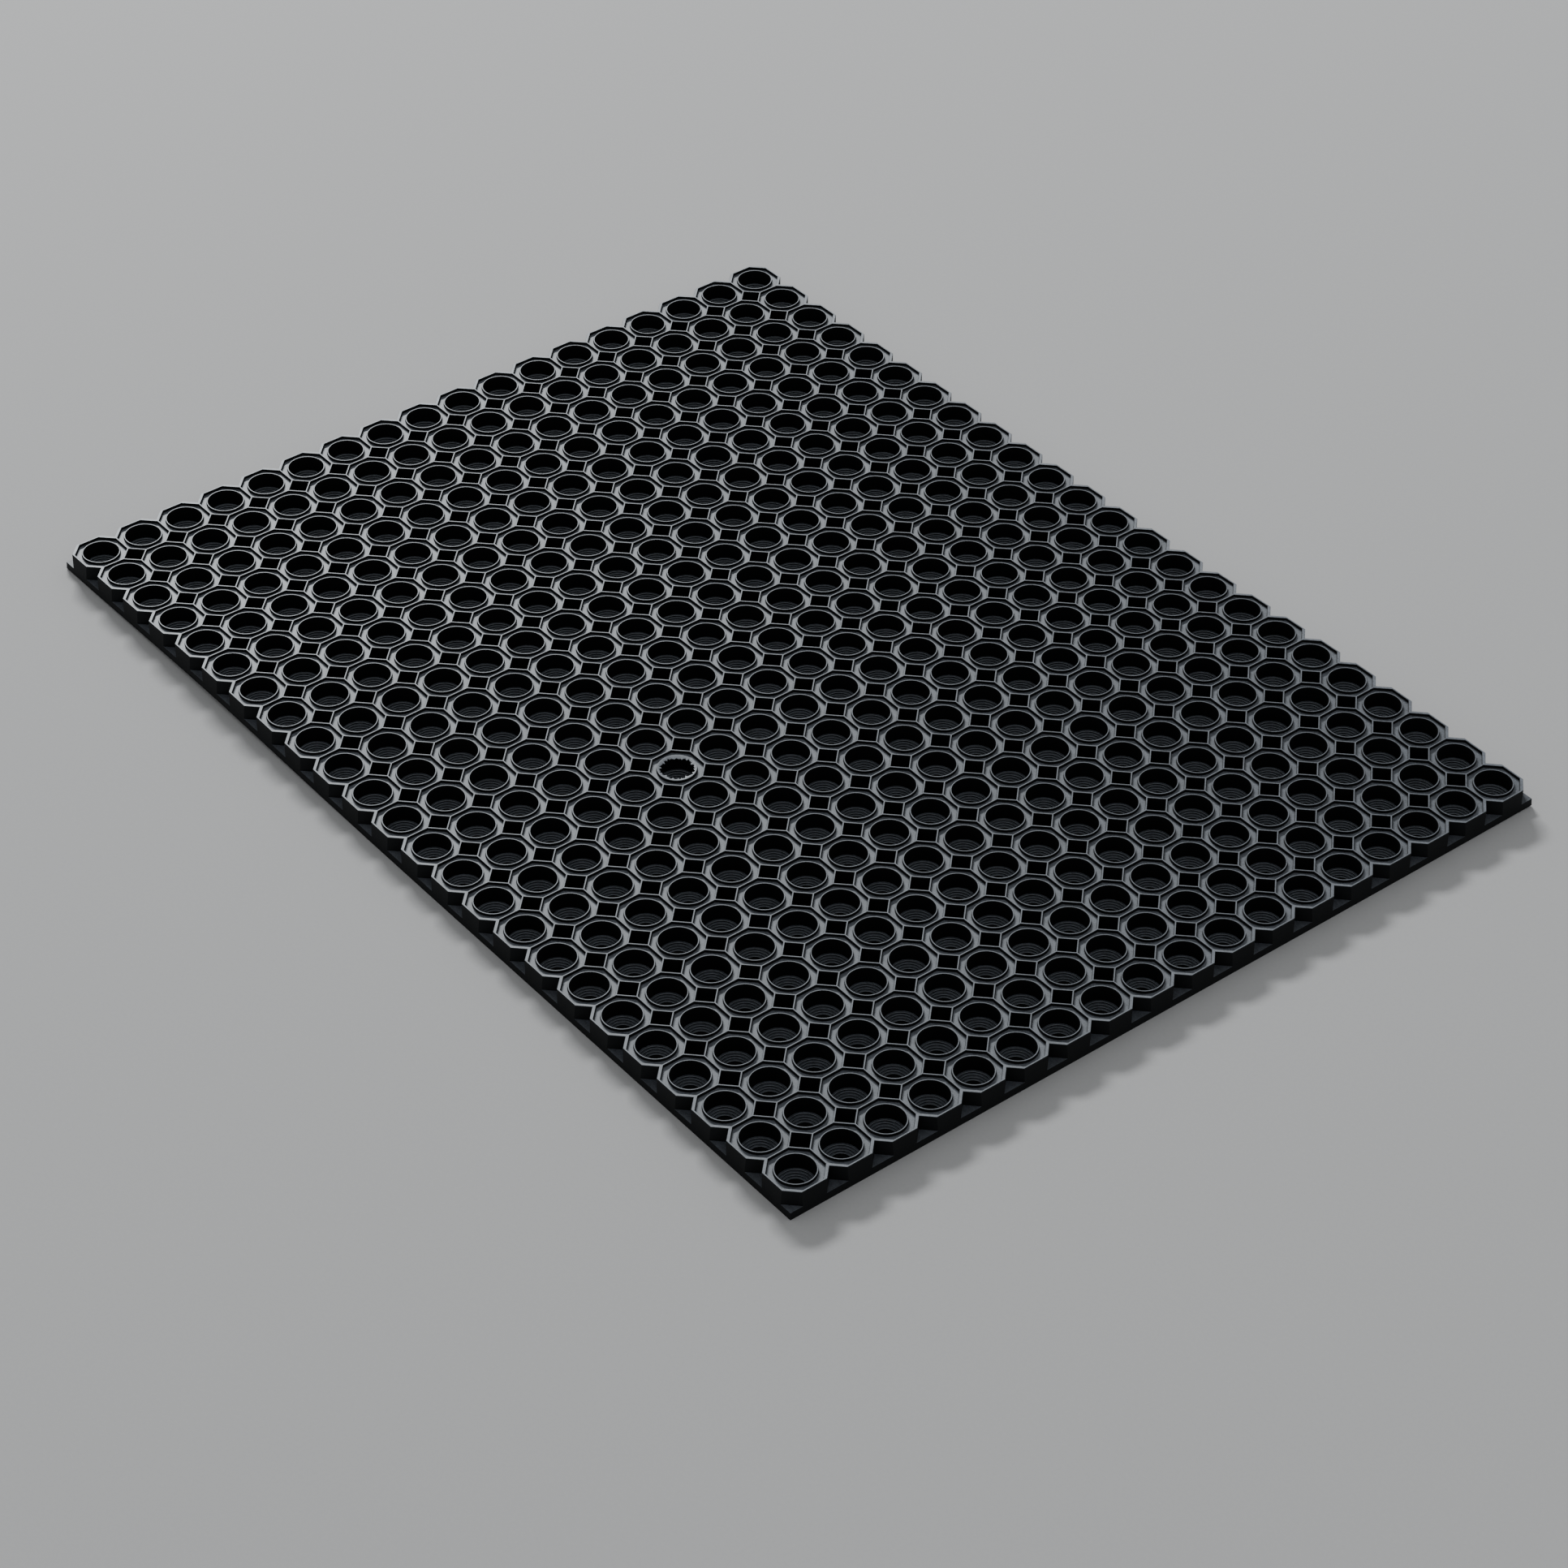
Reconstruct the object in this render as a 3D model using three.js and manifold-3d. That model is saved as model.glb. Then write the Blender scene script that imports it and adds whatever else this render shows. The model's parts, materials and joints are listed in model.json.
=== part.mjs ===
// Rubber ring door mat: one black moulding, a square lattice of open rings.
//
// Round bores sit at the centre of every square cell and square drain holes, turned
// by 45 degrees, sit at the cell corners. Around the outside the outer cells stand on
// a low straight flange, and right-angled notches separate them above it.
// The rubber bends at the thin webs between cells, so the mat is held as bands of
// two rows each, and each band is hinged to the next along its top surface.
//
// Millimetres, +Z up. +X runs along the mat and +Y across it. The origin is on the
// floor under the centre of the mat.

import * as THREE from 'three';
import { mergeVertices } from 'three/addons/utils/BufferGeometryUtils.js';
import Module from 'manifold-3d';

// Lattice
const CELL_PITCH = 41.5;
const CELLS_ALONG = 24;
const CELLS_ACROSS = 18;
const ROWS_PER_BAND = 2;
const BORDER = 2;

// Heights above the floor
const THICKNESS = 20;
const LEDGE_HEIGHT = 6.5;

// Openings
const BORE_RADIUS = 15;
const BORE_FACETS = 6;
const DRAIN_HALF_DIAGONAL = 10.3;

// Distance from the centre of an outer cell to its outward diagonal sides
const OUTER_DIAGONAL_APOTHEM = 23.4;

// Clearance between neighbouring bands, and how far a cutter runs past what it cuts
const BAND_GAP = 0.3;
const OVERCUT = 1;

const RUBBER = { color: 0x1a1c1f, roughness: 0.82, metalness: 0 };

const wasm = await Module();
wasm.setup();

const halfLength = (CELLS_ALONG * CELL_PITCH) / 2 + BORDER;
const halfWidth = (CELLS_ACROSS * CELL_PITCH) / 2 + BORDER;
const bandCount = Math.ceil(CELLS_ALONG / ROWS_PER_BAND);

/** Centre of cell number `index` in a run of `count` cells centred on zero. */
function cellCentre(index, count) {
  return (index - (count - 1) / 2) * CELL_PITCH;
}

/** The lines between neighbouring cells in a run of `count` cells centred on zero. */
function cellLines(count) {
  return Array.from({ length: count - 1 }, (_, i) => cellCentre(i, count) + CELL_PITCH / 2);
}

/** A regular polygon with the area of a circle of this radius, as a hole path. */
function boreHole(x, y) {
  const turn = (2 * Math.PI) / BORE_FACETS;
  const corner = BORE_RADIUS * Math.sqrt(turn / Math.sin(turn));
  const points = [];
  for (let i = 0; i < BORE_FACETS; i += 1) {
    const angle = (i + 0.5) * turn;
    points.push(new THREE.Vector2(x + corner * Math.cos(angle), y + corner * Math.sin(angle)));
  }
  return new THREE.Path(points);
}

/** A square hole standing on its corner. */
function drainHole(x, y) {
  const d = DRAIN_HALF_DIAGONAL;
  return new THREE.Path([
    new THREE.Vector2(x + d, y),
    new THREE.Vector2(x, y + d),
    new THREE.Vector2(x - d, y),
    new THREE.Vector2(x, y - d),
  ]);
}

/** An upright prism of this outline, as a closed indexed geometry. */
function prism(outline, bottom, top) {
  const geometry = new THREE.ExtrudeGeometry(outline, {
    depth: top - bottom,
    bevelEnabled: false,
    steps: 1,
  });
  geometry.translate(0, 0, bottom);
  geometry.deleteAttribute('normal');
  geometry.deleteAttribute('uv');
  return mergeVertices(geometry);
}

/** The solid of a closed indexed geometry. */
function toSolid(geometry) {
  const vertProperties = new Float32Array(geometry.attributes.position.array);
  const triVerts = new Uint32Array(geometry.index.array);
  return new wasm.Manifold(new wasm.Mesh({ numProp: 3, vertProperties, triVerts }));
}

/** The geometry of a solid. */
function toGeometry(solid) {
  const mesh = solid.getMesh();
  const geometry = new THREE.BufferGeometry();
  geometry.setAttribute('position', new THREE.BufferAttribute(mesh.vertProperties, 3));
  geometry.setIndex(new THREE.BufferAttribute(mesh.triVerts, 1));
  return geometry;
}

/** Outline of a band from x = left to x = right, with half drain holes on inner edges. */
function bandOutline(left, right) {
  const bite = DRAIN_HALF_DIAGONAL - BAND_GAP / 2;
  const outline = new THREE.Shape();
  outline.moveTo(left.x, -halfWidth);
  outline.lineTo(right.x, -halfWidth);
  if (right.inner) {
    for (const y of cellLines(CELLS_ACROSS)) {
      outline.lineTo(right.x, y - bite);
      outline.lineTo(right.x - bite, y);
      outline.lineTo(right.x, y + bite);
    }
  }
  outline.lineTo(right.x, halfWidth);
  outline.lineTo(left.x, halfWidth);
  if (left.inner) {
    for (const y of cellLines(CELLS_ACROSS).reverse()) {
      outline.lineTo(left.x, y + bite);
      outline.lineTo(left.x + bite, y);
      outline.lineTo(left.x, y - bite);
    }
  }
  outline.closePath();
  return outline;
}

// From an outer cell's centre line out to the apex of the notch beside it
const apexReach = Math.SQRT2 * OUTER_DIAGONAL_APOTHEM - CELL_PITCH / 2;
const apexInset = CELL_PITCH / 2 + BORDER - apexReach;

/** Triangular cutter above the ledge, its apex at (x, y), opening along (outX, outY). */
function notchCutter(x, y, outX, outY) {
  const reach = apexInset + OVERCUT;
  const outline = new THREE.Shape([
    new THREE.Vector2(x, y),
    new THREE.Vector2(x + reach * (outX + outY), y + reach * (outY - outX)),
    new THREE.Vector2(x + reach * (outX - outY), y + reach * (outY + outX)),
  ]);
  return toSolid(prism(outline, LEDGE_HEIGHT, THICKNESS + OVERCUT));
}

/** Cutter that chamfers the mat's corner in the quarter (signX, signY) above the ledge. */
function cornerCutter(signX, signY) {
  const leg = apexInset + BORDER;
  const x = signX * halfLength;
  const y = signY * halfWidth;
  const outline = new THREE.Shape([
    new THREE.Vector2(x + signX * OVERCUT, y + signY * OVERCUT),
    new THREE.Vector2(x - signX * (leg + OVERCUT), y + signY * OVERCUT),
    new THREE.Vector2(x + signX * OVERCUT, y - signY * (leg + OVERCUT)),
  ]);
  return toSolid(prism(outline, LEDGE_HEIGHT, THICKNESS + OVERCUT));
}

/** Every cutter that opens the outer edge of a band above the ledge. */
function edgeCutters(left, right) {
  const cutters = [];
  for (const side of [-1, 1]) {
    const apexY = side * (halfWidth - apexInset);
    for (const x of cellLines(CELLS_ALONG)) {
      if (x > left.x - CELL_PITCH / 2 && x < right.x + CELL_PITCH / 2) {
        cutters.push(notchCutter(x, apexY, 0, side));
      }
    }
  }
  for (const [end, signX] of [[left, -1], [right, 1]]) {
    if (!end.inner) {
      for (const y of cellLines(CELLS_ACROSS)) {
        cutters.push(notchCutter(end.x - signX * apexInset, y, signX, 0));
      }
      cutters.push(cornerCutter(signX, -1), cornerCutter(signX, 1));
    }
  }
  return cutters;
}

/** The solid of band number `index`: two rows of rings with everything that opens them. */
function bandGeometry(index) {
  const firstRow = index * ROWS_PER_BAND;
  const endRow = Math.min(firstRow + ROWS_PER_BAND, CELLS_ALONG);
  const lineBefore = cellCentre(firstRow, CELLS_ALONG) - CELL_PITCH / 2;
  const lineAfter = cellCentre(endRow - 1, CELLS_ALONG) + CELL_PITCH / 2;
  const left = { inner: firstRow > 0, x: firstRow > 0 ? lineBefore + BAND_GAP / 2 : -halfLength };
  const right = {
    inner: endRow < CELLS_ALONG,
    x: endRow < CELLS_ALONG ? lineAfter - BAND_GAP / 2 : halfLength,
  };

  const outline = bandOutline(left, right);
  for (let row = firstRow; row < endRow; row += 1) {
    const x = cellCentre(row, CELLS_ALONG);
    for (let column = 0; column < CELLS_ACROSS; column += 1) {
      outline.holes.push(boreHole(x, cellCentre(column, CELLS_ACROSS)));
    }
    if (row > firstRow) {
      for (const y of cellLines(CELLS_ACROSS)) {
        outline.holes.push(drainHole(x - CELL_PITCH / 2, y));
      }
    }
  }

  const blank = toSolid(prism(outline, 0, THICKNESS));
  const opened = edgeCutters(left, right).reduce((solid, cutter) => solid.subtract(cutter), blank);
  return toGeometry(opened);
}

const doorMat = new THREE.Group();
for (let index = 0; index < bandCount; index += 1) {
  const band = new THREE.Mesh(bandGeometry(index), new THREE.MeshStandardMaterial(RUBBER));
  band.name = `ring_band_${String(index + 1).padStart(2, '0')}`;
  doorMat.add(band);
}

export default doorMat;
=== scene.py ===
"""Black rubber ring door mat: its moulded surface, its finish and a plain studio.

The mat is one moulding, a square lattice of open rings. The frame holds it as bands
of two ring rows, hinged to each other so that the mat can roll up. The surface made
here covers every band as one skin: it is cut along the middle of each band, so that
each part but the two end rows spans one hinge.
"""

import json
import logging
import math
from collections.abc import Callable
from dataclasses import dataclass
from enum import IntEnum

import bpy
import numpy as np
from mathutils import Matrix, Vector

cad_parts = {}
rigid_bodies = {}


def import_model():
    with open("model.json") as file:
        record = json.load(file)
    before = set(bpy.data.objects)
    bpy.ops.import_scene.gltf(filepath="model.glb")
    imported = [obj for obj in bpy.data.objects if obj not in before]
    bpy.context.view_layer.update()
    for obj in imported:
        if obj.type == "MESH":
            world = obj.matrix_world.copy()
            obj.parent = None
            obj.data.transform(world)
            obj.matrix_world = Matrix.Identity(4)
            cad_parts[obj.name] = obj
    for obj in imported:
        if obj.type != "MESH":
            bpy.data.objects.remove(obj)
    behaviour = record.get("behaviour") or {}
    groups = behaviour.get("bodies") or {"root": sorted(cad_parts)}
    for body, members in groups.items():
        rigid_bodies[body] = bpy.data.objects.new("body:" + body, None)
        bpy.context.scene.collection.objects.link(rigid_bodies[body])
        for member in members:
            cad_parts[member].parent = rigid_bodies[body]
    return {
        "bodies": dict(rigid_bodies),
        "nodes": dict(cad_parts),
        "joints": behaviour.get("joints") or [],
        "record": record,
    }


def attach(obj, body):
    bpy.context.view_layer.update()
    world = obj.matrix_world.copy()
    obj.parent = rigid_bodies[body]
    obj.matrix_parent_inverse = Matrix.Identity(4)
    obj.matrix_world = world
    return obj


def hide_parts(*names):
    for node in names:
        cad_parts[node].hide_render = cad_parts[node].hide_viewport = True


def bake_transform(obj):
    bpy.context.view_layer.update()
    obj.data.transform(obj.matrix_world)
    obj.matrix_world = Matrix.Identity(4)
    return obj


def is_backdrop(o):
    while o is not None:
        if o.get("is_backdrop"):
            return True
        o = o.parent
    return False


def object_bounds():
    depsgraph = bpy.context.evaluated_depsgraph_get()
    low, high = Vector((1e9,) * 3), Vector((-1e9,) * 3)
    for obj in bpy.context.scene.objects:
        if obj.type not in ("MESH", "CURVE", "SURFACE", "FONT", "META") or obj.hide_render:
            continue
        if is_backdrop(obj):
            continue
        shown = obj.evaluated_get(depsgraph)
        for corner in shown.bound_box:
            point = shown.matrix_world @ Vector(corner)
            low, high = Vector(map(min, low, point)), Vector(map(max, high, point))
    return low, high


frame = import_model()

LOG = logging.getLogger("door_mat")
MM = 0.001
SQRT2 = math.sqrt(2.0)
ROWS_PER_BAND = 2
WELD_DISTANCE = 0.002 * MM
SHARP_ANGLE = math.radians(24)


# --------------------------------------------------------------------------- lattice


@dataclass(frozen=True)
class Lattice:
    """The square lattice of ring cells, in metres.

    Attributes:
        pitch: distance between neighbouring cell centres.
        cells_along: number of cells along X.
        cells_across: number of cells along Y.
        half_length: from the mat's centre to its short edge.
        half_width: from the mat's centre to its long edge.
        thickness: height of the tread above the floor.
        hinge_x: place of each hinge line along X.
    """

    pitch: float
    cells_along: int
    cells_across: int
    half_length: float
    half_width: float
    thickness: float
    hinge_x: tuple[float, ...]

    @classmethod
    def from_frame(cls, model: dict) -> "Lattice":
        """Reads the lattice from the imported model.


        Returns:
            The lattice. Neighbouring hinges are one band apart, which gives the pitch.
        """
        low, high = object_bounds()
        hinges = tuple(sorted(joint["pos_m"][0] for joint in model["record"]["behaviour"]["joints"]))
        pitch = (hinges[1] - hinges[0]) / ROWS_PER_BAND
        return cls(
            pitch=pitch,
            cells_along=int((high.x - low.x) / pitch),
            cells_across=int((high.y - low.y) / pitch),
            half_length=(high.x - low.x) / 2,
            half_width=(high.y - low.y) / 2,
            thickness=high.z,
            hinge_x=hinges,
        )

    @property
    def border(self) -> float:
        """Width of the plain strip outside the outermost cells."""
        return self.half_length - self.cells_along * self.pitch / 2

    def centres(self, rows: np.ndarray, columns: np.ndarray) -> np.ndarray:
        """Cell centres in plan.

        Args:
            rows: cell numbers along X.
            columns: cell numbers along Y.

        Returns:
            One (x, y) for each pair of numbers.
        """
        x = (rows - (self.cells_along - 1) / 2) * self.pitch
        y = (columns - (self.cells_across - 1) / 2) * self.pitch
        return np.stack([x, y], axis=-1)


@dataclass(frozen=True)
class Ripple:
    """A low fold that was left in the mat when it was unrolled.

    The height is height * exp(-(q / half_width) ** 2), where q is the distance in plan
    from a straight crest line.

    Attributes:
        height: rise of the crest above the flat parts.
        half_width: distance from the crest at which the rise has dropped to 1/e.
        heading: direction in plan across the crest, from +Y towards -X, in radians.
        offset: distance of the crest from the mat's centre along that direction.
    """

    height: float = 4.1 * MM
    half_width: float = 128 * MM
    heading: float = 0.911
    offset: float = -11.2 * MM

    def lift(self, x: np.ndarray, y: np.ndarray) -> np.ndarray:
        """Rise of the mat at each point in plan."""
        across = y * math.cos(self.heading) - x * math.sin(self.heading)
        return self.height * np.exp(-(((across - self.offset) / self.half_width) ** 2))


# ------------------------------------------------------------------------- ring cell


class Side(IntEnum):
    """What lies beyond one straight side of a cell."""

    JOINED = 0
    SEAM = 1
    OUTER = 2


class DustAndSheen(IntEnum):
    """How pale a strip is painted, in hundredths of the tread's: dust with a painted sheen, painted
    highlights and painted shade.
    """

    NONE = 0
    # painted shade: only a trace, so the creases at the foot of the pocket wall and of the lip stay nearly
    # black; also used on the feet's soles
    TRACE = 10
    BEVEL = 36
    LEDGE = 66
    STEP = 86
    POCKET = 92
    TOP = 100
    # painted highlight: the bevel at a step's inner edge is painted paler than the tread, as a bright arc
    STEP_EDGE_HIGHLIGHT = 180


@dataclass(frozen=True)
class Band:
    """One row of points round a cell, and the bloom on the strip that leads to it.

    Attributes:
        points: plan and height of each station, shape (cells, stations, 3).
        dust_and_sheen: how pale the strip between this row and the one before is painted, for dust and for
            painted light.
        wall: True if a cell leaves that strip out where it joins a neighbour.
        skirt: True if the strip follows the square outline of the flange.
    """

    points: np.ndarray
    dust_and_sheen: DustAndSheen
    wall: bool = False
    skirt: bool = False


@dataclass(frozen=True)
class RingCell:
    """One cell of the moulding: ridge, pocket, ring lip, stepped bore and feet.

    A cell is a closed skin that is swept round in stations. Every row of the sweep is an
    octagon or a circle, and a station keeps its place on each of them, so the ridge's
    octagon turns into the ring's circle from row to row. Depths run down from the tread.

    Attributes:
        pocket_axis: from the centre to the straight sides of the pocket.
        pocket_diagonal: from the centre to the diagonal sides of the pocket.
        drain_half_diagonal: half the diagonal of a square drain hole.
        outer_diagonal: from the centre to the diagonal sides beside an outer notch.
        pocket_depth: depth of the pocket between ridge and ring.
        lip_radius: outer radius of the ring.
        bore_radius: radius of the bore.
        step_depth: depth of the first step inside the bore.
        step_count: number of steps, from the bore's wall to the well.
        step_drop: from one step down to the next.
        well_radius: radius of the well inside the lowest step.
        well_depth: depth of the well's bottom.
        outlet_radius: radius of the drain hole through that bottom.
        ledge_depth: depth of the flange's top in the outer notches.
        foot_inner: inner radius of the feet.
        foot_outer: outer radius of the feet.
        foot_height: height of the feet.
        foot_middle: how far down the ring of feet comes between a foot and a channel.
        foot_swing: how much that grows towards a foot and shrinks towards a channel.
        draft: how far the outer walls lean in from the floor up to the tread.
        edge: width of the small bevel on every upper edge.
        axis_steps: stations along each straight side.
        diagonal_steps: stations along each diagonal side; an even number.
    """

    pocket_axis: float = 20.15 * MM
    pocket_diagonal: float = 20.85 * MM
    drain_half_diagonal: float = 10.3 * MM
    outer_diagonal: float = 23.4 * MM
    pocket_depth: float = 2.4 * MM
    lip_radius: float = 16.3 * MM
    bore_radius: float = 15.3 * MM
    step_depth: float = 13.9 * MM
    step_count: int = 4
    step_drop: float = 1.05 * MM
    well_radius: float = 7.8 * MM
    well_depth: float = 17.6 * MM
    outlet_radius: float = 3.0 * MM
    ledge_depth: float = 13.5 * MM
    foot_inner: float = 10.6 * MM
    foot_outer: float = 16.4 * MM
    foot_height: float = 1.8 * MM
    foot_middle: float = 0.415
    foot_swing: float = 0.9
    draft: float = 1.2 * MM
    edge: float = 0.2 * MM
    axis_steps: int = 6
    diagonal_steps: int = 4

    @property
    def stations(self) -> int:
        """Number of stations round the cell."""
        return 4 * (self.axis_steps + self.diagonal_steps)

    def station_sides(self) -> tuple[np.ndarray, np.ndarray]:
        """Where each station lies on its octagon.

        Returns:
            The number of its side, 0 for +X and then anticlockwise by eighths of a turn,
            and how far along that side it is, from 0 to 1.
        """
        steps = np.tile([self.axis_steps, self.diagonal_steps], 4)
        side = np.repeat(np.arange(8), steps)
        start = np.concatenate([[0], np.cumsum(steps)[:-1]])
        share = (np.arange(self.stations) - start[side]) / steps[side]
        return side, share

    @staticmethod
    def corners(axis: np.ndarray, diagonal: np.ndarray) -> np.ndarray:
        """Corners of an octagon with these apothems.

        A corner is where a straight side meets a diagonal one: at distance a along the
        axis and sqrt(2) * d - a across it.

        Args:
            axis: apothems of the sides facing +X, +Y, -X and -Y, shape (cells, 4).
            diagonal: apothems of the four diagonal sides after each of them.

        Returns:
            Corners in plan, anticlockwise from the start of the +X side, (cells, 8, 2).
        """
        before = SQRT2 * np.roll(diagonal, 1, axis=1) - axis
        after = SQRT2 * diagonal - axis
        out = np.array([[1, 0], [0, 1], [-1, 0], [0, -1]], float)
        along = np.array([[0, 1], [-1, 0], [0, -1], [1, 0]], float)
        first = axis[..., None] * out - before[..., None] * along
        last = axis[..., None] * out + after[..., None] * along
        return np.stack([first, last], axis=2).reshape(len(axis), 8, 2)

    def octagon(self, axis: np.ndarray, diagonal: np.ndarray) -> np.ndarray:
        """Stations on an octagon: straight steps from each corner to the next.

        Args:
            axis: apothems of the straight sides, shape (cells, 4).
            diagonal: apothems of the diagonal sides, shape (cells, 4).

        Returns:
            Stations in plan, shape (cells, stations, 2).
        """
        side, share = self.station_sides()
        corner = self.corners(axis, diagonal)
        start, end = corner[:, side], corner[:, (side + 1) % 8]
        return start + (end - start) * share[:, None]

    def skirt(self, axis: np.ndarray, diagonal: np.ndarray, outward: np.ndarray) -> np.ndarray:
        """Stations on the flange's outline, which is square where the octagon is cut.

        An outward diagonal side is replaced by two straight legs that meet at the square
        corner: the first half of its stations lie on one leg, the rest on the other.

        Args:
            axis: apothems of the straight sides.
            diagonal: apothems of the diagonal sides.
            outward: which diagonal sides face out of the mat, shape (cells, 4).

        Returns:
            Stations in plan, shape (cells, stations, 2).
        """
        side, share = self.station_sides()
        corner = self.corners(axis, diagonal)
        start, end = corner[:, side], corner[:, (side + 1) % 8]
        cut = (side - 1) // 2 % 4
        turn = np.array([[1, 1], [-1, 1], [-1, -1], [1, -1]], float)
        pair = np.stack([axis[:, [0, 2, 2, 0]], axis[:, [1, 1, 3, 3]]], axis=-1)
        knee = (turn * pair)[:, cut]
        double = 2 * share[:, None]
        bent = np.where(double <= 1, start + (knee - start) * double, knee + (end - knee) * (double - 1))
        straight = start + (end - start) * share[:, None]
        is_bent = (side % 2 == 1) & outward[:, cut]
        return np.where(is_bent[..., None], bent, straight)

    def angles(self) -> np.ndarray:
        """Direction of each station from the cell's centre, from the pocket's octagon."""
        plan = self.octagon(np.full((1, 4), self.pocket_axis), np.full((1, 4), self.pocket_diagonal))[0]
        return np.arctan2(plan[:, 1], plan[:, 0])

    def rows(self, lattice: Lattice, sides: np.ndarray) -> list[Band]:
        """All rows of the sweep, from the flange's foot up, in and back underneath.

        Args:
            lattice: the mat's lattice.
            sides: what lies beyond the +X, +Y, -X and -Y side of each cell.

        Returns:
            The rows in order. The last one is followed by the first.
        """
        top, under, edge = lattice.thickness, self.foot_height, self.edge
        count, turn = len(sides), self.angles()
        outer = sides == Side.OUTER
        outward = outer | np.roll(outer, -1, axis=1)
        drain = lattice.pitch / SQRT2 - self.drain_half_diagonal / SQRT2

        def leaning(height: float) -> np.ndarray:
            """Apothems of the straight sides at that height: outer walls lean inwards."""
            return lattice.pitch / 2 + outer * (lattice.border - self.draft * height / top)

        diagonal = np.where(outward, self.outer_diagonal, drain)
        circle = np.stack([np.cos(turn), np.sin(turn)], axis=-1)

        def lifted(plan: np.ndarray, height: float | np.ndarray) -> np.ndarray:
            """Plan points of every cell with their height."""
            z = np.broadcast_to(height, plan.shape[:-1])
            return np.concatenate([plan, z[..., None]], axis=-1)

        def ring(radius: float, height: float | np.ndarray) -> np.ndarray:
            """A circle at that height in every cell."""
            return lifted(np.broadcast_to(circle * radius, (count, self.stations, 2)), height)

        def pocket(inset: float, height: float) -> np.ndarray:
            """The pocket's octagon at that height, drawn in by inset."""
            straight = np.full((count, 4), self.pocket_axis - inset)
            slanting = np.full((count, 4), self.pocket_diagonal - inset)
            return lifted(self.octagon(straight, slanting), height)

        foot = under * (1 - self.foot_share(turn))
        basin, ledge = top - self.pocket_depth, top - self.ledge_depth
        outline = self.skirt(leaning(0), diagonal, outward)
        # along the outline the flange stands on the floor; the rest is held up by the feet
        base = np.where(np.abs(outline).max(axis=-1) > (lattice.pitch + lattice.border) / 2, 0.0, under)
        rim = self.skirt(leaning(ledge), diagonal, outward)
        crest = self.octagon(leaning(top) - edge * outer, diagonal - edge)
        fine = edge / 2
        return [
            Band(lifted(outline, base), DustAndSheen.NONE),
            Band(lifted(rim, ledge), DustAndSheen.NONE, wall=True, skirt=True),
            Band(lifted(self.octagon(leaning(ledge), diagonal), ledge), DustAndSheen.LEDGE),
            Band(lifted(self.octagon(leaning(top), diagonal), top - edge), DustAndSheen.NONE, wall=True),
            Band(lifted(crest, top), DustAndSheen.BEVEL, wall=True),
            Band(pocket(-edge, top), DustAndSheen.TOP),
            Band(pocket(0, top - edge), DustAndSheen.BEVEL),
            Band(pocket(fine, basin + edge), DustAndSheen.NONE),
            # painted shade: the crease at the foot of the pocket wall, and two rows on the one at the foot
            # of the lip, get only a trace of the pale paint
            Band(pocket(2 * edge, basin), DustAndSheen.TRACE),
            Band(ring(self.lip_radius + 2 * edge, basin), DustAndSheen.POCKET),
            Band(ring(self.lip_radius + fine, basin + edge), DustAndSheen.TRACE),
            Band(ring(self.lip_radius, top - edge), DustAndSheen.NONE),
            Band(ring(self.lip_radius - edge, top), DustAndSheen.BEVEL),
            Band(ring(self.bore_radius + edge, top), DustAndSheen.TOP),
            Band(ring(self.bore_radius, top - edge), DustAndSheen.BEVEL),
            *self.steps(top, ring),
            Band(ring(self.well_radius - fine, top - self.well_depth), DustAndSheen.NONE),
            Band(ring(self.outlet_radius, top - self.well_depth), DustAndSheen.NONE),
            Band(ring(self.outlet_radius, under), DustAndSheen.NONE),
            Band(ring(self.foot_inner, under), DustAndSheen.NONE),
            Band(ring(self.foot_inner + edge, foot), DustAndSheen.NONE),
            Band(ring(self.foot_outer - edge, foot), DustAndSheen.TRACE),
            Band(ring(self.foot_outer, under), DustAndSheen.NONE),
        ]

    def steps(self, top: float, ring: Callable[[float, float], np.ndarray]) -> list[Band]:
        """The stepped floor of the bore, from the foot of its wall in to the well.

        Args:
            top: height of the tread.
            ring: draws a circle of a radius at a height in every cell.

        Returns:
            Three rows for each step: its outer edge and both edges of its bevel.
        """
        radii = np.linspace(self.bore_radius - self.edge, self.well_radius, self.step_count + 1)
        bands = []
        for number, (outer, inner) in enumerate(zip(radii, radii[1:])):
            height = top - self.step_depth - number * self.step_drop
            bands.append(Band(ring(outer, height), DustAndSheen.NONE))
            bands.append(Band(ring(inner + self.edge, height), DustAndSheen.STEP))
            # painted highlight: this bevel is painted as a bright arc
            bands.append(Band(ring(inner, height - self.edge), DustAndSheen.STEP_EDGE_HIGHLIGHT))
        return bands

    def foot_share(self, turn: np.ndarray) -> np.ndarray:
        """How far down the underside's ring comes at each direction.

        The ring stands on four feet in the diagonal directions, with drain channels
        between them: a smooth step on minus the cosine of four times the direction.

        Args:
            turn: directions from the cell's centre.

        Returns:
            For each direction, 0 at the underside's level to 1 on the floor.
        """
        wave = np.clip(self.foot_middle - self.foot_swing * np.cos(4 * turn), 0, 1)
        return wave * wave * (3 - 2 * wave)


# ---------------------------------------------------------------------------- meshes


def weld(points: np.ndarray, faces: np.ndarray) -> tuple[np.ndarray, np.ndarray]:
    """Joins points that lie in one place.

    Args:
        points: positions, shape (n, 3).
        faces: four point numbers for each face.

    Returns:
        The different points, and the faces with their numbers.
    """
    keys = np.round(points / WELD_DISTANCE).astype(np.int64)
    _, first, number = np.unique(keys, axis=0, return_index=True, return_inverse=True)
    return points[first], number.reshape(-1)[faces]


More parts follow.
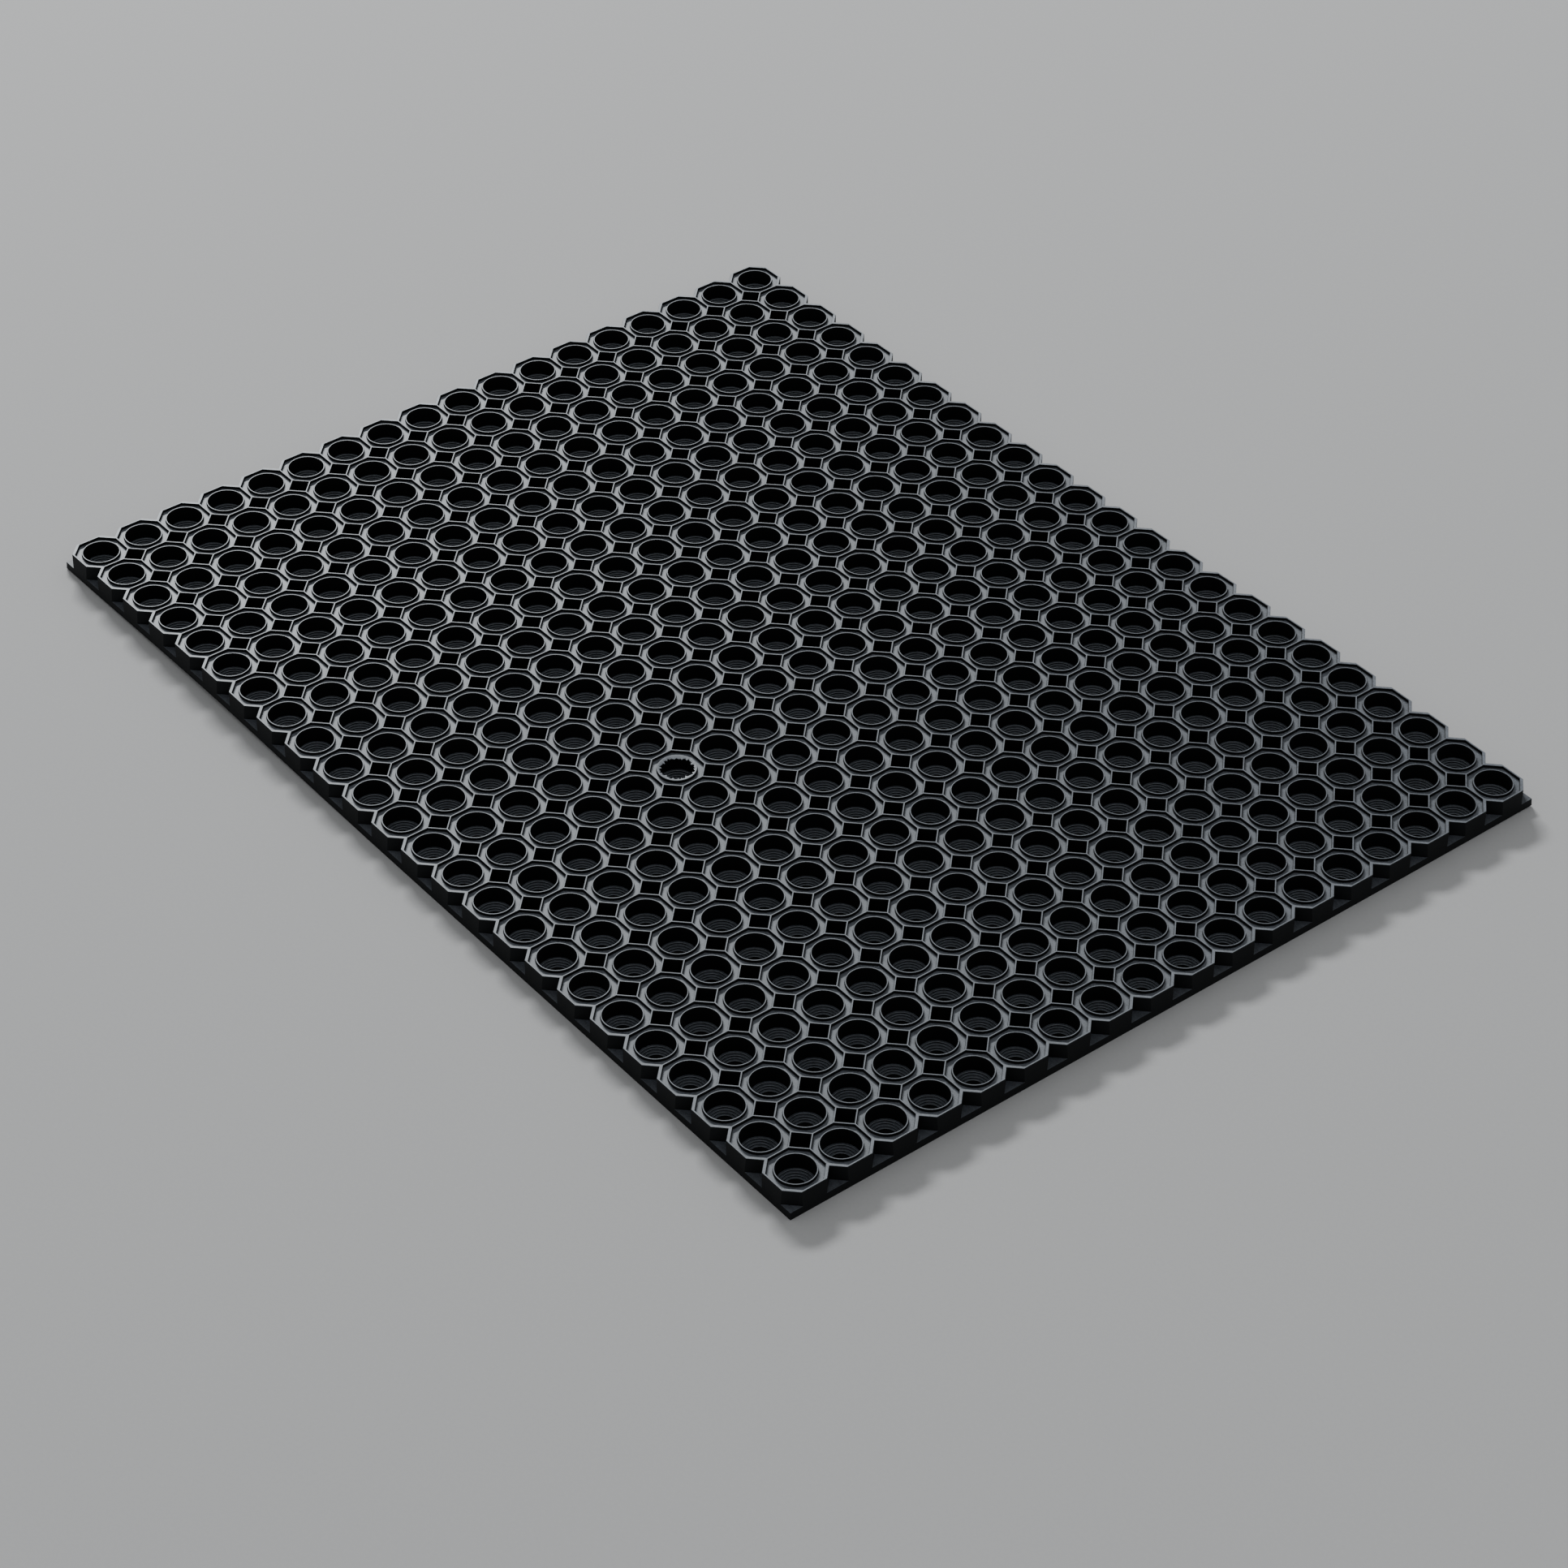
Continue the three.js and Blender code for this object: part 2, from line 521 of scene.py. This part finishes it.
def sweep_faces(shape: tuple[int, ...]) -> np.ndarray:
    """Quads between neighbouring rows and stations of closed sweeps.

    Args:
        shape: lengths of the point grid, with rows and stations as its last two axes.

    Returns:
        Four point numbers for each row and station, anticlockwise from outside. They span
        the strip from the row before, and the last row is followed by the first.
    """
    number = np.arange(math.prod(shape)).reshape(shape)
    below = np.roll(number, 1, axis=-2)
    corners = [below, np.roll(below, -1, axis=-1), np.roll(number, -1, axis=-1), number]
    return np.stack(corners, axis=-1)


def make_mesh(name: str, points: np.ndarray, faces: np.ndarray, dust_and_sheen: np.ndarray) -> bpy.types.Mesh:
    """A mesh of quads, some of which may have shrunk to triangles.

    A face whose neighbouring corners coincide loses one of them, and a face with fewer
    than three corners left is dropped.

    Args:
        name: the mesh's name.
        points: positions, shape (n, 3).
        faces: four point numbers for each face, anticlockwise from outside.
        dust_and_sheen: how pale each face is painted, for dust and for painted light, 1 on the tread.

    Returns:
        The mesh, smooth except along sharp edges.
    """
    points, faces = weld(points, faces)
    keep = faces != np.roll(faces, 1, axis=1)
    sizes = keep.sum(axis=1)
    whole = sizes >= 3
    faces, keep, sizes, dust_and_sheen = faces[whole], keep[whole], sizes[whole], dust_and_sheen[whole]

    mesh = bpy.data.meshes.new(name)
    mesh.vertices.add(len(points))
    mesh.vertices.foreach_set("co", points.astype(np.float32).ravel())
    mesh.loops.add(int(sizes.sum()))
    mesh.loops.foreach_set("vertex_index", faces[keep].astype(np.int32))
    mesh.polygons.add(len(faces))
    starts = np.concatenate([[0], np.cumsum(sizes)[:-1]])
    mesh.polygons.foreach_set("loop_start", starts.astype(np.int32))
    mesh.update(calc_edges=True)
    mesh.validate()
    mesh.shade_smooth()
    mesh.set_sharp_from_angle(angle=SHARP_ANGLE)
    layer = mesh.attributes.new(RubberFinish.DUST_AND_SHEEN_LAYER, "FLOAT", "FACE")
    layer.data.foreach_set("value", dust_and_sheen.astype(np.float32))
    return mesh


# -------------------------------------------------------------------------- finishes


class Nodes:
    """A short hand for building one material's node tree."""

    def __init__(self, material: bpy.types.Material) -> None:
        """Starts from an empty tree.

        Args:
            material: the material to build.
        """
        material.use_nodes = True
        self.tree = material.node_tree
        self.tree.nodes.clear()

    def add(self, kind: str, inputs: dict | None = None, **settings: object) -> bpy.types.Node:
        """Adds a node.

        Args:
            kind: the node's type name.
            inputs: for each socket's name or number, a value or another node's output.
            **settings: the node's own properties.

        Returns:
            The node.
        """
        node = self.tree.nodes.new(kind)
        for key, value in settings.items():
            setattr(node, key, value)
        for key, value in (inputs or {}).items():
            if isinstance(value, bpy.types.NodeSocket):
                self.tree.links.new(value, node.inputs[key])
            else:
                node.inputs[key].default_value = value
        return node

    def math(self, operation: str, *values: object, clamp: bool = False) -> bpy.types.NodeSocket:
        """The result of an arithmetic node on values or sockets."""
        node = self.add("ShaderNodeMath", dict(enumerate(values)), operation=operation, use_clamp=clamp)
        return node.outputs[0]

    def mix(self, factor: object, first: object, second: object) -> bpy.types.NodeSocket:
        """A colour between two others.

        Args:
            factor: share of the second colour, a number or a socket.
            first: the colour at factor 0, a value or a socket.
            second: the colour at factor 1, a value or a socket.

        Returns:
            The mixed colour.
        """
        node = self.add("ShaderNodeMix", data_type="RGBA")
        for number, value in ((0, factor), (6, first), (7, second)):
            if isinstance(value, bpy.types.NodeSocket):
                self.tree.links.new(value, node.inputs[number])
            else:
                node.inputs[number].default_value = value
        return node.outputs[2]

    def noise(self, where: bpy.types.NodeSocket, scale: float, detail: float = 2.0) -> bpy.types.NodeSocket:
        """Noise from 0 to 1; scale is its grains per metre."""
        node = self.add("ShaderNodeTexNoise", {"Vector": where, "Scale": scale, "Detail": detail})
        return node.outputs["Fac"]


@dataclass(frozen=True)
class RubberFinish:
    """Black moulded rubber, painted pale bluish on what faces up for dust and a painted sheen.

    Attributes:
        black: colour of clean rubber.
        dust_and_sheen_colour: the pale bluish colour painted for dust and a painted sheen together.
        tint: colour of its gloss.
        cover: mean share of an upward face painted in that pale colour.
        grain_swing: how much the fine grain varies that share.
        streak_swing: how much the streaks vary it.
        cloud_swing: how much the patches vary it.
        fleck: colour of stray dust flecks.
        fleck_grid: possible places of a fleck per metre.
        fleck_size: radius of a fleck, as a share of the space between those places.
        fleck_patch: patches per metre of the noise that chooses among them.
        fleck_limit: value of that noise above which there are flecks.
        roughness: mean roughness where the dust and painted sheen are full.
        rough_swing: how much the fine grain varies the roughness.
        dull: how much rougher the faces without dust and painted sheen are.
        bare_shine: specular level of faces without dust and painted sheen.
        shine: what full dust and painted sheen add to it.
        grain: grains per metre of the moulding's fine grain.
        streak: streaks per metre, across their length.
        stretch: scale of the streaks along X, below 1 to draw them out.
        cloud: patches per metre of uneven dust and painted sheen.
        streak_relief: height of the streaks, as a share of the grain's.
        relief: height of the grain.
        relief_strength: strength of that relief, from 0 to 1.
    """

    DUST_AND_SHEEN_LAYER = "dust_and_sheen"

    black: tuple[float, float, float, float] = (0.0035, 0.0037, 0.0042, 1)
    dust_and_sheen_colour: tuple[float, float, float, float] = (0.205, 0.232, 0.278, 1)
    tint: tuple[float, float, float, float] = (0.90, 0.97, 1.0, 1)
    cover: float = 0.6
    grain_swing: float = 1.0
    streak_swing: float = 0.6
    cloud_swing: float = 0.36
    fleck: tuple[float, float, float, float] = (0.55, 0.56, 0.56, 1)
    fleck_grid: float = 160.0
    fleck_size: float = 0.045
    fleck_patch: float = 23.0
    fleck_limit: float = 0.66
    roughness: float = 0.48
    rough_swing: float = 0.16
    dull: float = 0.20
    bare_shine: float = 0.22
    shine: float = 0.66
    grain: float = 900
    streak: float = 300
    stretch: float = 0.35
    cloud: float = 55
    streak_relief: float = 0.5
    relief: float = 0.12 * MM
    relief_strength: float = 0.35

    def build(self) -> bpy.types.Material:
        """Builds the material.

        Returns:
            The material. Its pattern lies on object coordinates, and the bloom is read
            from each face, so both stay with the rubber when the mat rolls up.
        """
        material = bpy.data.materials.new("moulded_rubber")
        nodes = Nodes(material)
        where = nodes.add("ShaderNodeTexCoord").outputs["Object"]
        drawn_out = {"Vector": where, "Scale": (self.stretch, 1.0, 1.0)}
        flow = nodes.add("ShaderNodeMapping", drawn_out).outputs[0]
        # painted sheen: each face's share from the mesh paints it paler, for dust and for the glossy sheen
        # of upward faces
        dust_and_sheen = nodes.add("ShaderNodeAttribute", attribute_name=self.DUST_AND_SHEEN_LAYER).outputs["Fac"]
        fine = nodes.noise(where, self.grain, 3.0)
        streak = nodes.noise(flow, self.streak)
        cloud = nodes.noise(where, self.cloud, 3.0)

        # uneven dust and painted sheen: grains, streaks and patches, whose noise swings round a half
        swing = self.grain_swing + self.streak_swing + self.cloud_swing
        uneven = nodes.math("MULTIPLY_ADD", fine, self.grain_swing, self.cover - swing / 2)
        uneven = nodes.math("MULTIPLY_ADD", streak, self.streak_swing, uneven)
        uneven = nodes.math("MULTIPLY_ADD", cloud, self.cloud_swing, uneven)
        cover = nodes.math("MULTIPLY", dust_and_sheen, uneven, clamp=True)
        # painted sheen and dust: black rubber goes over to the pale bluish colour by that share
        colour = nodes.mix(cover, self.black, self.dust_and_sheen_colour)

        # stray flecks of dust, only on faces painted with dust and sheen
        cells = nodes.add("ShaderNodeTexVoronoi", {"Vector": where, "Scale": self.fleck_grid})
        near = nodes.math("LESS_THAN", cells.outputs["Distance"], self.fleck_size)
        patches = nodes.noise(where, self.fleck_patch, 0.0)
        chosen = nodes.math("GREATER_THAN", patches, self.fleck_limit)
        flecks = nodes.math("MULTIPLY", nodes.math("MULTIPLY", near, chosen), dust_and_sheen)
        colour = nodes.mix(flecks, colour, self.fleck)

        bare = nodes.math("SUBTRACT", 1.0, dust_and_sheen)
        smoothest = self.roughness - self.rough_swing / 2
        rough = nodes.math("MULTIPLY_ADD", fine, self.rough_swing, smoothest)
        rough = nodes.math("MULTIPLY_ADD", bare, self.dull, rough)
        shine = nodes.math("MULTIPLY_ADD", dust_and_sheen, self.shine, self.bare_shine)
        height = nodes.math("MULTIPLY_ADD", streak, self.streak_relief, fine)
        bump = nodes.add(
            "ShaderNodeBump",
            {"Height": height, "Strength": self.relief_strength, "Distance": self.relief},
        )
        shader = nodes.add(
            "ShaderNodeBsdfPrincipled",
            {
                "Base Color": colour,
                "Roughness": rough,
                "Normal": bump.outputs["Normal"],
                "Specular IOR Level": shine,
                "Specular Tint": self.tint,
            },
        )
        nodes.add("ShaderNodeOutputMaterial", {"Surface": shader.outputs[0]})
        return material


@dataclass(frozen=True)
class FloorFinish:
    """Plain pale floor.

    Attributes:
        colour: the floor's colour.
        roughness: its roughness.
        mottle: brightness of its darkest mottles, as a share of the rest.
        mottle_scale: mottles per metre.
    """

    colour: tuple[float, float, float, float] = (0.60, 0.612, 0.62, 1)
    roughness: float = 0.9
    mottle: float = 0.94
    mottle_scale: float = 350.0

    def build(self) -> bpy.types.Material:
        """Builds the material.

        Returns:
            The material, in one colour with a hardly visible mottling.
        """
        material = bpy.data.materials.new("plain_floor")
        nodes = Nodes(material)
        where = nodes.add("ShaderNodeTexCoord").outputs["Object"]
        darker = tuple(self.mottle * channel for channel in self.colour[:3]) + (1,)
        colour = nodes.mix(nodes.noise(where, self.mottle_scale), darker, self.colour)
        settings = {"Base Color": colour, "Roughness": self.roughness}
        shader = nodes.add("ShaderNodeBsdfPrincipled", settings)
        nodes.add("ShaderNodeOutputMaterial", {"Surface": shader.outputs[0]})
        return material


# ------------------------------------------------------------------------------- mat


@dataclass(frozen=True)
class Hold:
    """The one body that a part of the skin follows, or the two bodies on either side of its hinge.

    Attributes:
        first: the body before the hinge, or the only one.
        second: the body after the hinge, or None.
        hinge_x: place of the hinge line; not used.
        reach: a distance from the hinge line; not used.
    """

    first: str
    second: str | None = None
    hinge_x: float = 0.0
    reach: float = 0.0

    def fasten(self, piece: bpy.types.Object) -> None:
        """Makes the piece follow its only body; with two bodies it only bakes the piece's transform into
        its mesh.

        Args:
            piece: the piece to fasten.
        """
        if self.second is None:
            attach(piece, self.first)
            return
        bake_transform(piece)


@dataclass(frozen=True)
class RingBlock:
    """A part of the moulding: every ring of one or two rows across the mat.

    Attributes:
        name: name of the piece.
        first_row: number of its first row along X.
        row_count: how many rows it has.
        hold: the bodies that it follows.
        nodes: the CAD nodes that it stands for.
    """

    name: str
    first_row: int
    row_count: int
    hold: Hold
    nodes: tuple[str, ...]

    def sides(self, lattice: Lattice, rows: np.ndarray, columns: np.ndarray) -> np.ndarray:
        """What lies beyond each side of each cell.

        Args:
            lattice: the mat's lattice.
            rows: cell numbers along X.
            columns: cell numbers along Y.

        Returns:
            For each cell, its sides facing +X, +Y, -X and -Y.
        """
        last_row = self.first_row + self.row_count - 1
        side = np.full((len(rows), 4), Side.JOINED)
        side[rows == last_row, 0] = Side.SEAM
        side[rows == self.first_row, 2] = Side.SEAM
        side[rows == lattice.cells_along - 1, 0] = Side.OUTER
        side[rows == 0, 2] = Side.OUTER
        side[columns == lattice.cells_across - 1, 1] = Side.OUTER
        side[columns == 0, 3] = Side.OUTER
        return side

    def build(self, lattice: Lattice, cell: RingCell, ripple: Ripple) -> bpy.types.Object:
        """Builds the block as one closed skin.

        The rows of all its cells make a grid of row by station. Neighbouring rows and
        stations span the faces, and where two cells join, the wall between them is left
        out and their rims are welded.

        Args:
            lattice: the mat's lattice.
            cell: the shape of a cell.
            ripple: the fold in the mat.

        Returns:
            The object, with its place in its mesh.
        """
        row_range = np.arange(self.first_row, self.first_row + self.row_count)
        rows, columns = (grid.ravel() for grid in np.meshgrid(row_range, np.arange(lattice.cells_across)))
        sides = self.sides(lattice, rows, columns)
        bands = cell.rows(lattice, sides)
        points = np.stack([band.points for band in bands], axis=1)
        points[..., :2] += lattice.centres(rows, columns)[:, None, None, :]
        points[..., 2] += ripple.lift(points[..., 0], points[..., 1])

        faces = sweep_faces(points.shape[:3])
        shown = np.ones(points.shape[:3], bool)
        for level, band in enumerate(bands):
            if band.wall:
                shown[:, level] = ~self.joined(cell, sides, band.skirt)
        # each strip's pale paint: dust with a painted sheen, painted highlights and painted shade
        dust_and_sheen = np.array([band.dust_and_sheen for band in bands]) / DustAndSheen.TOP
        dust_and_sheen = np.broadcast_to(dust_and_sheen[None, :, None], shown.shape)
        mesh = make_mesh(self.name, points.reshape(-1, 3), faces[shown], dust_and_sheen[shown])
        piece = bpy.data.objects.new(self.name, mesh)
        bpy.context.collection.objects.link(piece)
        return piece

    @staticmethod
    def joined(cell: RingCell, sides: np.ndarray, skirt: bool) -> np.ndarray:
        """Which steps of a wall lie inside the moulding, against a neighbouring cell.

        A step on a straight side does if that side is joined. On the flange's outline the
        first half of an outward diagonal side lies on the line of the side before it,
        and the rest on the line of the side after it.

        Args:
            cell: the shape of a cell.
            sides: what lies beyond each side of each cell.
            skirt: True for the flange's outline.

        Returns:
            For each cell and station, whether the step that starts there is inside.
        """
        side, share = cell.station_sides()
        inside = sides == Side.JOINED
        outer = sides == Side.OUTER
        outward = outer | np.roll(outer, -1, axis=1)
        straight = (side % 2 == 0) & inside[:, side // 2 % 4]
        if not skirt:
            return straight
        leg = np.where(share < 0.5, side // 2, side // 2 + 1) % 4
        bent = (side % 2 == 1) & outward[:, side // 2 % 4] & inside[:, leg]
        return straight | bent

    def finish(self, piece: bpy.types.Object, rubber: bpy.types.Material) -> None:
        """Dresses the piece, hides the CAD parts that it stands for and fastens it by its hold.

        Args:
            piece: what build returned.
            rubber: the rubber's material.
        """
        piece.data.materials.append(rubber)
        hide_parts(*self.nodes)
        self.hold.fasten(piece)


@dataclass(frozen=True)
class FlashSkin:
    """Torn flash in one bore: a thin web of rubber that the mould left round its lip.

    Attributes:
        row: number of its cell along X.
        column: number of its cell along Y.
        width: mean width of the web.
        narrowest: least width, as a share of the mean.
        widest: greatest width, as a share of the mean.
        thickness: thickness of the web.
        lift: height of its top above the tread.
        drop: how much lower its inner edge is where it has no width.
        droop: how much lower that edge hangs with each unit of width.
        waves: how many times each wave of the ragged edge goes up and down.
        wave_sizes: greatest size of each wave, as a share of the mean width.
        stations: steps round the bore.
        seed: seed of its ragged edge.
    """

    row: int = 13
    column: int = 5
    width: float = 2.1 * MM
    narrowest: float = 0.15
    widest: float = 2.0
    thickness: float = 0.5 * MM
    lift: float = 0.1 * MM
    drop: float = 0.15 * MM
    droop: float = 0.12
    waves: tuple[int, ...] = (1, 2, 5, 9, 14, 23, 37, 58)
    wave_sizes: tuple[float, ...] = (0.5, 0.3, 0.25, 0.25, 0.3, 0.3, 0.3, 0.25)
    stations: int = 200
    seed: int = 7

    def build(self, lattice: Lattice, cell: RingCell, ripple: Ripple) -> bpy.types.Object:
        """Builds the web as a closed ring with a ragged inner edge.

        The inner radius is the bore's less the mean width times 1 plus a sum of sine
        waves round the ring, with random phases and from half to all of their sizes.

        Args:
            lattice: the mat's lattice.
            cell: the shape of a cell.
            ripple: the fold in the mat.

        Returns:
            The object.
        """
        random = np.random.default_rng(self.seed)
        turn = np.linspace(0, 2 * math.pi, self.stations, endpoint=False)
        size = random.uniform(0.5, 1.0, len(self.waves)) * np.array(self.wave_sizes)
        phase = random.uniform(0, 2 * math.pi, len(self.waves))
        ragged = (size * np.sin(np.outer(turn, self.waves) + phase)).sum(axis=1)
        outer = np.full(self.stations, cell.lip_radius - 2 * cell.edge)
        inner = cell.bore_radius - self.width * np.clip(1 + ragged, self.narrowest, self.widest)
        top = lattice.thickness + self.lift
        edge = top - self.drop - self.droop * (cell.bore_radius - inner)
        rows = [
            (outer, np.full_like(turn, top - self.thickness)),
            (outer, np.full_like(turn, top)),
            (np.full_like(turn, cell.bore_radius), np.full_like(turn, top)),
            (inner, edge),
            (inner, edge - self.thickness / 2),
            (np.full_like(turn, cell.bore_radius), np.full_like(turn, top - self.thickness)),
        ]
        points = np.stack([np.stack([r * np.cos(turn), r * np.sin(turn), z], axis=-1) for r, z in rows])
        points[..., :2] += lattice.centres(np.array(self.row), np.array(self.column))
        points[..., 2] += ripple.lift(points[..., 0], points[..., 1])
        faces = sweep_faces(points.shape[:2]).reshape(-1, 4)
        # the web is painted as pale as a step, for dust and a painted sheen
        dust_and_sheen = np.full(len(faces), DustAndSheen.STEP / DustAndSheen.TOP)
        mesh = make_mesh("flash_skin", points.reshape(-1, 3), faces, dust_and_sheen)
        piece = bpy.data.objects.new("flash_skin", mesh)
        bpy.context.collection.objects.link(piece)
        return piece


class DoorMat:
    """The whole mat.

    Attributes:
        REACH: a distance on each side of a hinge, as a share of the pitch, given to each hinge's hold.
    """

    REACH = 0.7

    def __init__(self, model: dict) -> None:
        """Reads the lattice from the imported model.
        """
        self.model = model
        self.lattice = Lattice.from_frame(model)
        self.cell = RingCell()
        self.ripple = Ripple()
        self.rubber = RubberFinish().build()

    def hinges(self) -> list[dict]:
        """The joints from the first band to the last."""
        joints = self.model["record"]["behaviour"]["joints"]
        return sorted(joints, key=lambda joint: joint["pos_m"][0])

    def blocks(self) -> list[RingBlock]:
        """The parts of the skin, from one end of the mat to the other.

        Returns:
            A block of one row at each end, and one of two rows across each hinge.
        """
        bodies = self.model["record"]["behaviour"]["bodies"]
        hinges = self.hinges()
        first, last = hinges[0]["parent"], hinges[-1]["child"]
        blocks = [RingBlock("rings_01", 0, 1, Hold(first), tuple(bodies[first]))]
        for place, joint in enumerate(hinges):
            before, after = joint["parent"], joint["child"]
            hold = Hold(before, after, joint["pos_m"][0], self.REACH * self.lattice.pitch)
            nodes = (*bodies[before], *bodies[after])
            row = ROWS_PER_BAND * place + 1
            blocks.append(RingBlock(f"rings_{place + 2:02d}", row, ROWS_PER_BAND, hold, nodes))
        end = self.lattice.cells_along - 1
        blocks.append(RingBlock(f"rings_{len(hinges) + 2:02d}", end, 1, Hold(last), tuple(bodies[last])))
        return blocks

    def build(self) -> None:
        """Builds every part of the skin, and the flash in one bore."""
        flash = FlashSkin()
        for block in self.blocks():
            piece = block.build(self.lattice, self.cell, self.ripple)
            block.finish(piece, self.rubber)
            LOG.info("%s: %d faces", piece.name, len(piece.data.polygons))
            if block.first_row <= flash.row < block.first_row + block.row_count:
                web = flash.build(self.lattice, self.cell, self.ripple)
                web.data.materials.append(self.rubber)
                block.hold.fasten(web)
                LOG.info("%s: %d faces", web.name, len(web.data.polygons))


# ---------------------------------------------------------------------------- studio


@dataclass(frozen=True)
class SoftBox:
    """A level rectangular area light that faces the mat.

    Attributes:
        name: the light's name.
        direction: unit vector from the mat to the light.
        distance: how far away it hangs.
        width: its horizontal side.
        height: its other side.
        power: its power in watts.
    """

    name: str
    direction: tuple[float, float, float]
    distance: float
    width: float
    height: float
    power: float

    def build(self) -> None:
        """Adds the light to the scene."""
        data = bpy.data.lights.new(self.name, "AREA")
        data.shape = "RECTANGLE"
        data.size = self.width
        data.size_y = self.height
        data.energy = self.power
        light = bpy.data.objects.new(self.name, data)
        light.location = Vector(self.direction) * self.distance
        light.rotation_euler = (-Vector(self.direction)).to_track_quat("-Z", "Y").to_euler()
        bpy.context.collection.objects.link(light)


@dataclass(frozen=True)
class Studio:
    """Floor, lights and camera.

    Attributes:
        azimuth: camera's direction round the mat in degrees; 0 looks along +Y.
        elevation: its height above the horizon in degrees.
        distance: from the camera to the point that it faces.
        aim: that point.
        lens: focal length in millimetres.
        sensor: width of the picture plane in millimetres.
        floor_size: side of the square floor.
        ambient: strength of the even light from all round.
        key: the main light.
    """

    azimuth: float = 51.8
    elevation: float = 38.9
    distance: float = 3.282
    aim: tuple[float, float, float] = (0.1298, -0.0899, 0.020)
    lens: float = 95.0
    sensor: float = 36.0
    floor_size: float = 30.0
    ambient: float = 0.38
    key: SoftBox = SoftBox("key_light", (-0.8155, 0.3238, 0.4797), 10.0, 3.5, 1.1, 885)

    def build(self) -> None:
        """Builds the floor, the lights and the camera."""
        self.build_floor()
        self.build_world()
        self.key.build()
        self.build_camera()

    def build_floor(self) -> None:
        """Adds the floor under the mat."""
        half = self.floor_size / 2
        mesh = bpy.data.meshes.new("floor")
        corners = [(-half, -half, 0), (half, -half, 0), (half, half, 0), (-half, half, 0)]
        mesh.from_pydata(corners, [], [(0, 1, 2, 3)])
        mesh.materials.append(FloorFinish().build())
        floor = bpy.data.objects.new("floor", mesh)
        bpy.context.collection.objects.link(floor)
        floor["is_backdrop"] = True

    def build_world(self) -> None:
        """Sets the even light from all round."""
        world = bpy.data.worlds.new("studio")
        world.use_nodes = True
        background = world.node_tree.nodes["Background"]
        background.inputs["Color"].default_value = (1, 1, 1, 1)
        background.inputs["Strength"].default_value = self.ambient
        bpy.context.scene.world = world

    def build_camera(self) -> None:
        """Adds the camera, level and without depth of field."""
        data = bpy.data.cameras.new("camera")
        data.lens = self.lens
        data.sensor_width = self.sensor
        camera = bpy.data.objects.new("camera", data)
        turn, rise = math.radians(self.azimuth), math.radians(self.elevation)
        back = Vector((math.sin(turn) * math.cos(rise), -math.cos(turn) * math.cos(rise), math.sin(rise)))
        camera.location = Vector(self.aim) + back * self.distance
        camera.rotation_euler = (-back).to_track_quat("-Z", "Y").to_euler()
        bpy.context.collection.objects.link(camera)
        bpy.context.scene.camera = camera


def main() -> None:
    logging.basicConfig(level=logging.INFO, format="%(name)s: %(message)s")
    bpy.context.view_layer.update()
    DoorMat(frame).build()
    Studio().build()


if __name__ == "__main__":
    main()
